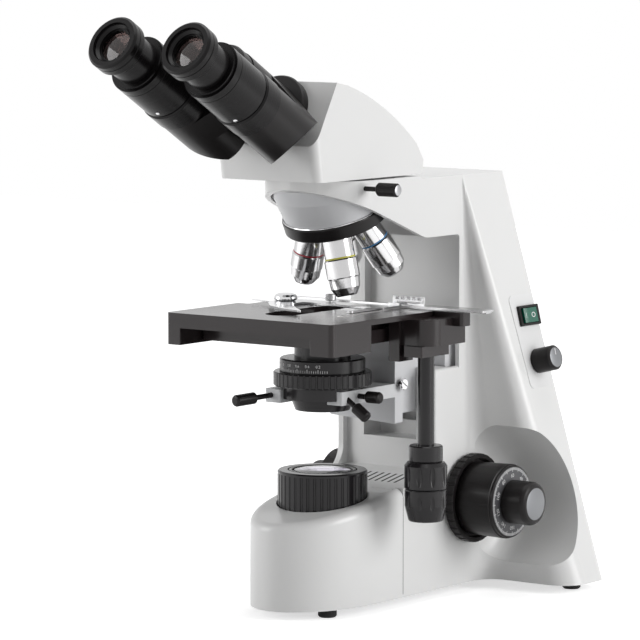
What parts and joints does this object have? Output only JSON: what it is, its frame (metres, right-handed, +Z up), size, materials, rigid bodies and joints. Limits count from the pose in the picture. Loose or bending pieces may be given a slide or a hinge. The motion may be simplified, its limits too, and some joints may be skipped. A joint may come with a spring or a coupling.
{
  "type": "binocular compound microscope",
  "caption": "Upright binocular light microscope with a swivelling inclined head, turning nosepiece, mechanical stage, lifting condenser and an illuminator in the foot",
  "frame": {"origin": "table surface under the middle of the instrument's outer box, between the rubber feet", "axes": "+Z up; -Y toward the operator and the eyepieces; +Y toward the column and the rear of the stand; +X to the operator's right, the side with the switch and the drop-down stage control"},
  "size_m": [0.2458, 0.4132, 0.4431],
  "materials": {
    "body_casting": "satin light grey white enamel",
    "base_front_cover": "satin light grey white enamel",
    "base_plate": "grey sheet steel",
    "rubber_feet": "black rubber",
    "lamp_socket": "plain",
    "lamp_bulb": "polished glass",
    "collector_lens": "polished glass",
    "deflecting_mirror": "front silvered",
    "lamp_collar": "matt black plastic",
    "field_lens": "polished glass",
    "control_panel": "light grey",
    "switch_bezel": "matt black plastic",
    "power_inlet": "matt black plastic",
    "arm_dovetail_ring": "matt black enamel",
    "nosepiece_mount": "clear anodised, satin",
    "guide_rails": "ground steel",
    "field_iris_ring": "matt black plastic",
    "switch_rocker": "green translucent",
    "dimmer_knob": "matt black plastic",
    "head_casting": "satin light grey white enamel",
    "head_dovetail_foot": "ground steel",
    "hub_plate": "matt black enamel",
    "beam_splitter_prism": "polished glass",
    "head_lock_screw": "matt black plastic",
    "left_prism_housing": "matt black enamel",
    "left_rhomboid_prism": "polished glass",
    "right_prism_housing": "matt black enamel",
    "right_rhomboid_prism": "polished glass",
    "left_diopter_collar": "matt black enamel",
    "left_eyepiece": "matt black enamel",
    "left_eye_lens": "polished glass",
    "right_diopter_collar": "matt black enamel",
    "right_eyepiece": "matt black enamel",
    "right_eye_lens": "polished glass",
    "nosepiece_turret": "matt black enamel",
    "objective_4x": "bright chrome plate",
    "objective_10x": "bright chrome plate",
    "objective_40x": "bright chrome plate",
    "objective_100x": "bright chrome plate",
    "objective_front_lenses": "polished glass",
    "stage_carriage": "light grey",
    "stage_lower_plate": "matt black enamel",
    "stage_top_plate": "matt black enamel",
    "drive_housing": "matt black enamel",
    "specimen_bar": "ground steel",
    "specimen_holder": "ground steel",
    "specimen_finger": "ground steel",
    "x_travel_knob": "matt black plastic",
    "y_travel_knob": "matt black plastic",
    "condenser_fork": "clear anodised, satin",
    "condenser_body": "matt black plastic",
    "condenser_lens": "polished glass",
    "aperture_ring": "matt black plastic",
    "centring_screw_left": "matt black plastic",
    "centring_screw_right": "matt black plastic",
    "condenser_clamp_screw": "matt black plastic",
    "condenser_lift_knob": "matt black plastic",
    "coarse_knobs": "matt black plastic",
    "fine_knobs": "matt black plastic",
    "tension_ring": "matt black plastic"
  },
  "bodies": {
    "stand": {"body_casting": "body_casting", "base_front_cover": "base_front_cover", "base_plate": "base_plate", "rubber_feet": "rubber_feet", "lamp_socket": "lamp_socket", "lamp_bulb": "lamp_bulb", "collector_lens": "collector_lens", "deflecting_mirror": "deflecting_mirror", "lamp_collar": "lamp_collar", "field_lens": "field_lens", "control_panel": "control_panel", "switch_bezel": "switch_bezel", "power_inlet": "power_inlet", "arm_dovetail_ring": "arm_dovetail_ring", "nosepiece_mount": "nosepiece_mount", "guide_rails": "guide_rails"},
    "field_ring": {"field_iris_ring": "field_iris_ring"},
    "rocker": {"switch_rocker": "switch_rocker"},
    "dimmer": {"dimmer_knob": "dimmer_knob"},
    "head": {"head_casting": "head_casting", "head_dovetail_foot": "head_dovetail_foot", "hub_plate": "hub_plate", "beam_splitter_prism": "beam_splitter_prism"},
    "head_lock": {"head_lock_screw": "head_lock_screw"},
    "left_tube": {"left_prism_housing": "left_prism_housing", "left_rhomboid_prism": "left_rhomboid_prism"},
    "right_tube": {"right_prism_housing": "right_prism_housing", "right_rhomboid_prism": "right_rhomboid_prism"},
    "left_ocular": {"left_diopter_collar": "left_diopter_collar", "left_eyepiece": "left_eyepiece", "left_eye_lens": "left_eye_lens"},
    "right_ocular": {"right_diopter_collar": "right_diopter_collar", "right_eyepiece": "right_eyepiece", "right_eye_lens": "right_eye_lens"},
    "nosepiece": {"nosepiece_turret": "nosepiece_turret", "objective_4x": "objective_4x", "objective_10x": "objective_10x", "objective_40x": "objective_40x", "objective_100x": "objective_100x", "objective_front_lenses": "objective_front_lenses"},
    "carriage": {"stage_carriage": "stage_carriage", "stage_lower_plate": "stage_lower_plate"},
    "stage_y": {"stage_top_plate": "stage_top_plate", "drive_housing": "drive_housing"},
    "stage_x": {"specimen_bar": "specimen_bar", "specimen_holder": "specimen_holder"},
    "finger": {"specimen_finger": "specimen_finger"},
    "x_knob": {"x_travel_knob": "x_travel_knob"},
    "y_knob": {"y_travel_knob": "y_travel_knob"},
    "condenser": {"condenser_fork": "condenser_fork", "condenser_body": "condenser_body", "condenser_lens": "condenser_lens"},
    "aperture": {"aperture_ring": "aperture_ring"},
    "centring_left": {"centring_screw_left": "centring_screw_left"},
    "centring_right": {"centring_screw_right": "centring_screw_right"},
    "condenser_clamp": {"condenser_clamp_screw": "condenser_clamp_screw"},
    "condenser_knob": {"condenser_lift_knob": "condenser_lift_knob"},
    "coarse": {"coarse_knobs": "coarse_knobs"},
    "fine": {"fine_knobs": "fine_knobs"},
    "tension": {"tension_ring": "tension_ring"}
  },
  "joints": [
    {"name": "field_ring_turn", "type": "hinge", "parent": "stand", "child": "field_ring", "pos_m": [0, 0.00482, 0.09], "axis": [0, 0, 1], "range_deg": [-60, 60]},
    {"name": "rocker_tilt", "type": "hinge", "parent": "stand", "child": "rocker", "pos_m": [0.07286, 0.16782, 0.2098], "axis": [-0.2389, 0, 0.971], "range_deg": [0, 2]},
    {"name": "dimmer_turn", "type": "hinge", "parent": "stand", "child": "dimmer", "pos_m": [0.08135, 0.16882, 0.1753], "axis": [0.971, 0, 0.2389], "range_deg": [-135, 135]},
    {"name": "head_swivel", "type": "hinge", "parent": "stand", "child": "head", "pos_m": [0, 0.00482, 0.32], "axis": [0, 0, 1], "continuous": true},
    {"name": "head_lock_turn", "type": "hinge", "parent": "stand", "child": "head_lock", "pos_m": [0.06, -0.00168, 0.3152], "axis": [1, 0, 0], "range_deg": [-180, 180]},
    {"name": "right_tube_swing", "type": "hinge", "parent": "head", "child": "right_tube", "pos_m": [0, -0.0695, 0.381], "axis": [0, -0.866, 0.5], "range_deg": [-10, 15]},
    {"name": "left_tube_swing", "type": "hinge", "parent": "head", "child": "left_tube", "pos_m": [0, -0.09202, 0.394], "axis": [0, -0.866, 0.5], "range_deg": [-15, 10]},
    {"name": "right_diopter_turn", "type": "hinge", "parent": "right_tube", "child": "right_ocular", "pos_m": [0.03234, -0.14352, 0.39279], "axis": [0, -0.866, 0.5], "range_deg": [-45, 45]},
    {"name": "left_diopter_turn", "type": "hinge", "parent": "left_tube", "child": "left_ocular", "pos_m": [-0.0344, -0.14217, 0.39513], "axis": [0, -0.866, 0.5], "range_deg": [-45, 45]},
    {"name": "nosepiece_turn", "type": "hinge", "parent": "stand", "child": "nosepiece", "pos_m": [0, 0.02182, 0.2869], "axis": [0, 0.342, -0.9397], "continuous": true},
    {"name": "stage_lift", "type": "slide", "parent": "stand", "child": "carriage", "axis": [0, 0, 1], "range_m": [-0.02, 0.003]},
    {"name": "coarse_turn", "type": "hinge", "parent": "stand", "child": "coarse", "pos_m": [0.07, 0.12822, 0.0725], "axis": [1, 0, 0], "range_deg": [-200, 40]},
    {"name": "fine_turn", "type": "hinge", "parent": "stand", "child": "fine", "pos_m": [0.098, 0.12822, 0.0725], "axis": [1, 0, 0], "range_deg": [-360, 360]},
    {"name": "tension_turn", "type": "hinge", "parent": "stand", "child": "tension", "pos_m": [0.051, 0.12822, 0.0725], "axis": [1, 0, 0], "range_deg": [-30, 30]},
    {"name": "stage_y_travel", "type": "slide", "parent": "carriage", "child": "stage_y", "axis": [0, 1, 0], "range_m": [-0.006, 0.04]},
    {"name": "stage_x_travel", "type": "slide", "parent": "stage_y", "child": "stage_x", "axis": [1, 0, 0], "range_m": [-0.028, 0.02]},
    {"name": "x_knob_turn", "type": "hinge", "parent": "stage_y", "child": "x_knob", "pos_m": [0.08, 0.02482, 0.11], "axis": [0, 0, 1], "range_deg": [-340, 245]},
    {"name": "y_knob_turn", "type": "hinge", "parent": "stage_y", "child": "y_knob", "pos_m": [0.08, 0.02482, 0.08], "axis": [0, 0, 1], "range_deg": [-80, 490]},
    {"name": "finger_swing", "type": "hinge", "parent": "stage_x", "child": "finger", "pos_m": [-0.038, 0.00982, 0.228], "axis": [0, 0, 1], "range_deg": [-30, 0], "stiffness_Nm_per_rad": 0.02},
    {"name": "condenser_lift", "type": "slide", "parent": "carriage", "child": "condenser", "axis": [0, 0, 1], "range_m": [-0.018, 0.001]},
    {"name": "condenser_knob_turn", "type": "hinge", "parent": "carriage", "child": "condenser_knob", "pos_m": [-0.038, 0.05952, 0.178], "axis": [-1, 0, 0], "range_deg": [-265, 20]},
    {"name": "aperture_turn", "type": "hinge", "parent": "condenser", "child": "aperture", "pos_m": [0, 0.00482, 0.172], "axis": [0, 0, 1], "range_deg": [-60, 60]},
    {"name": "centring_left_turn", "type": "hinge", "parent": "condenser", "child": "centring_left", "pos_m": [-0.025, -0.02518, 0.1605], "axis": [-0.1805, -0.9828, -0.0401], "range_deg": [-180, 180]},
    {"name": "centring_right_turn", "type": "hinge", "parent": "condenser", "child": "centring_right", "pos_m": [0.0307, 0.00882, 0.1605], "axis": [1, 0, 0], "range_deg": [-180, 180]},
    {"name": "condenser_clamp_turn", "type": "hinge", "parent": "condenser", "child": "condenser_clamp", "pos_m": [0.0307, -0.00418, 0.1585], "axis": [0.8211, 0, -0.5708], "range_deg": [-180, 180]}
  ],
  "couplings": [
    {"joint": "left_tube_swing", "follows": "right_tube_swing", "ratio": -1},
    {"joint": "coarse_turn", "follows": "stage_lift", "rad_per_m": 166.67},
    {"joint": "x_knob_turn", "follows": "stage_x_travel", "rad_per_m": 209.44},
    {"joint": "y_knob_turn", "follows": "stage_y_travel", "rad_per_m": 209.44},
    {"joint": "condenser_knob_turn", "follows": "condenser_lift", "rad_per_m": 251.33}
  ]
}
